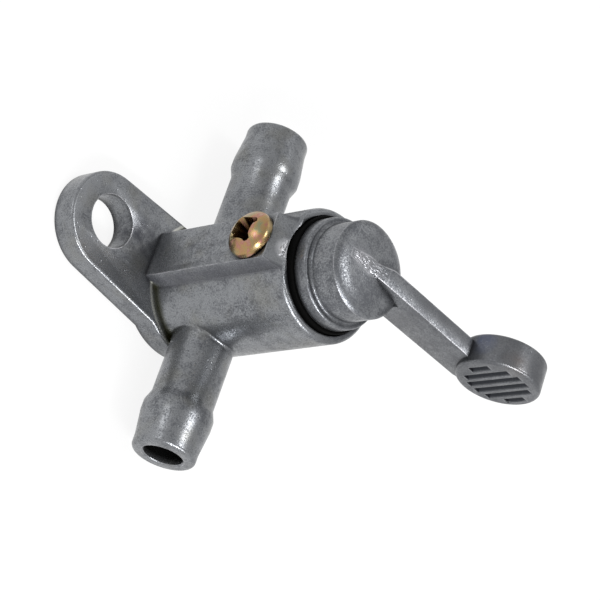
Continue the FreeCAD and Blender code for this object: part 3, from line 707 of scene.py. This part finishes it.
def pale_floor(context, settings):
    """A pale card under the tap. Light falls on it as on paper, and where the eye or a mirror meets it, it
    shines evenly, with a little of its own shade left."""
    half_side, gap, shine = 3.0, 0.02 * MM, 0.86
    made = bmesh.new()
    bmesh.ops.create_grid(made, x_segments=1, y_segments=1, size=half_side)
    mesh = bpy.data.meshes.new("floor")
    made.to_mesh(mesh)
    made.free()
    floor = bpy.data.objects.new("floor", mesh)
    floor.location.z = CAD_BOX[0][2] - gap
    context.scene.collection.objects.link(floor)
    material, tree = start_material("pale_card")
    path = add_node(tree, "LightPath")
    card = add_node(tree, "BsdfDiffuse", {"Color": tuple(settings.floor_colour)})
    glow = add_node(tree, "Emission", {"Color": (1, 1, 1, 1), "Strength": 1.0})
    seen = add_node(tree, "Math", {0: path.outputs["Is Camera Ray"], 1: path.outputs["Is Glossy Ray"]},
                    operation="ADD")
    seen = add_node(tree, "Math", {0: seen.outputs[0], 1: path.outputs["Is Transmission Ray"]},
                    operation="ADD", use_clamp=True)
    seen = add_node(tree, "Math", {0: seen.outputs[0], 1: shine}, operation="MULTIPLY")
    mix = add_node(tree, "MixShader", {0: seen.outputs[0], 1: card.outputs[0], 2: glow.outputs[0]})
    add_node(tree, "OutputMaterial", {"Surface": mix.outputs[0]})
    mesh.materials.append(material)


def studio_light(context, settings):
    """The even light of a pale room, a little stronger at the horizon than overhead."""
    world = bpy.data.worlds.new("studio")
    context.scene.world = world
    world.use_nodes = True
    tree = world.node_tree
    tree.nodes.clear()
    towards = add_node(tree, "SeparateXYZ", {0: add_node(tree, "TexCoord").outputs["Generated"]})
    level = add_node(tree, "MapRange", {
        "Value": towards.outputs[2], "To Min": settings.horizon_level, "To Max": settings.ceiling_level},
        interpolation_type="SMOOTHSTEP")
    glow = add_node(tree, "Background", {"Color": (1, 1, 1, 1), "Strength": level.outputs[0]})
    add_node(tree, "OutputWorld", {"Surface": glow.outputs[0]})


def soft_lamp(name, towards, width, height, power):
    """A soft lamp, half a metre away in one direction, that looks at the middle of the tap."""
    distance = 0.5
    middle = Vector((0, 0, 14 * MM))
    towards = Vector(towards)
    lamp = bpy.data.lights.new(name, "AREA")
    lamp.shape = "RECTANGLE"
    lamp.size = width
    lamp.size_y = height
    lamp.energy = power
    holder = bpy.data.objects.new(name, lamp)
    holder.location = middle + towards.normalized() * distance
    holder.rotation_euler = towards.to_track_quat("Z", "Y").to_euler()
    bpy.context.scene.collection.objects.link(holder)


def photograph_camera(context):
    """The camera of the photograph, from its place and its right, up and backward directions."""
    spot = Vector((0.1583, 0.1236, 0.2056))
    right = Vector((-0.6225, -0.294, 0.7253))
    up = Vector((0.5223, -0.8462, 0.1053))
    back = Vector((0.5828, 0.4443, 0.6804))
    camera = bpy.data.cameras.new("photograph_camera")
    camera.lens = 139.8
    camera.sensor_width = 36.0
    camera.clip_start = 0.01
    camera.clip_end = 20.0
    holder = bpy.data.objects.new("photograph_camera", camera)
    turn = Matrix((right, up, back)).transposed().to_4x4()
    holder.matrix_world = Matrix.Translation(spot) @ turn
    context.scene.collection.objects.link(holder)
    context.scene.camera = holder


class FUELTAP_OT_stage(bpy.types.Operator):
    """The floor, the soft light and the photograph's camera."""
    bl_idname = "fueltap.stage"
    bl_label = "Stage"

    def execute(self, context):
        settings = context.scene.fueltap_stage
        pale_floor(context, settings)
        studio_light(context, settings)
        # Each lamp's direction from the tap, width, height and power.
        lamps = (
            ("main_lamp", (-0.15, -0.14, 0.97), 0.16, 0.16, settings.main_power),
            ("side_lamp", (0.95, -0.05, 0.26), 0.16, 0.16, settings.side_power),
            ("front_lamp", (-0.02, 0.74, 0.66), 0.42, 0.09, settings.front_power),
            ("back_lamp", (-0.2, -0.7, 0.6), 0.2, 0.2, settings.back_power),
        )
        for name, towards, width, height, power in lamps:
            soft_lamp(name, towards, width, height, power)
        photograph_camera(context)
        context.scene.view_settings.view_transform = "Standard"
        return {"FINISHED"}


# The name that the scene keeps each group of settings under, the group, and the operators that read it.
SECTIONS = (
    ("fueltap_casting", CastingSettings, (FUELTAP_OT_body_casting, FUELTAP_OT_lever_casting)),
    ("fueltap_screw", ScrewSettings, (FUELTAP_OT_screw,)),
    ("fueltap_rubber", RubberSettings, (FUELTAP_OT_rings,)),
    ("fueltap_stage", StageSettings, (FUELTAP_OT_stage,)),
)


class FUELTAP_PT_panel(bpy.types.Panel):
    """Lists the pieces of the tap and their sizes and colours."""
    bl_label = "Fuel tap"
    bl_idname = "FUELTAP_PT_panel"
    bl_space_type = "VIEW_3D"
    bl_region_type = "UI"
    bl_category = "Fuel tap"

    def draw(self, context):
        for key, _, operators in SECTIONS:
            box = self.layout.box()
            settings = getattr(context.scene, key)
            for setting in settings.bl_rna.properties.keys():
                if setting not in {"rna_type", "name"}:
                    box.prop(settings, setting)
            for operator in operators:
                box.operator(operator.bl_idname)


def register():
    for key, group, operators in SECTIONS:
        bpy.utils.register_class(group)
        setattr(bpy.types.Scene, key, PointerProperty(type=group))
        for operator in operators:
            bpy.utils.register_class(operator)
    bpy.utils.register_class(FUELTAP_PT_panel)


def unregister():
    bpy.utils.unregister_class(FUELTAP_PT_panel)
    for key, group, operators in reversed(SECTIONS):
        for operator in reversed(operators):
            bpy.utils.unregister_class(operator)
        delattr(bpy.types.Scene, key)
        bpy.utils.unregister_class(group)


def main():
    register()
    bpy.ops.fueltap.body_casting()
    bpy.ops.fueltap.lever_casting()
    bpy.ops.fueltap.screw()
    bpy.ops.fueltap.rings()
    bpy.ops.fueltap.stage()


if __name__ == "__main__":
    main()
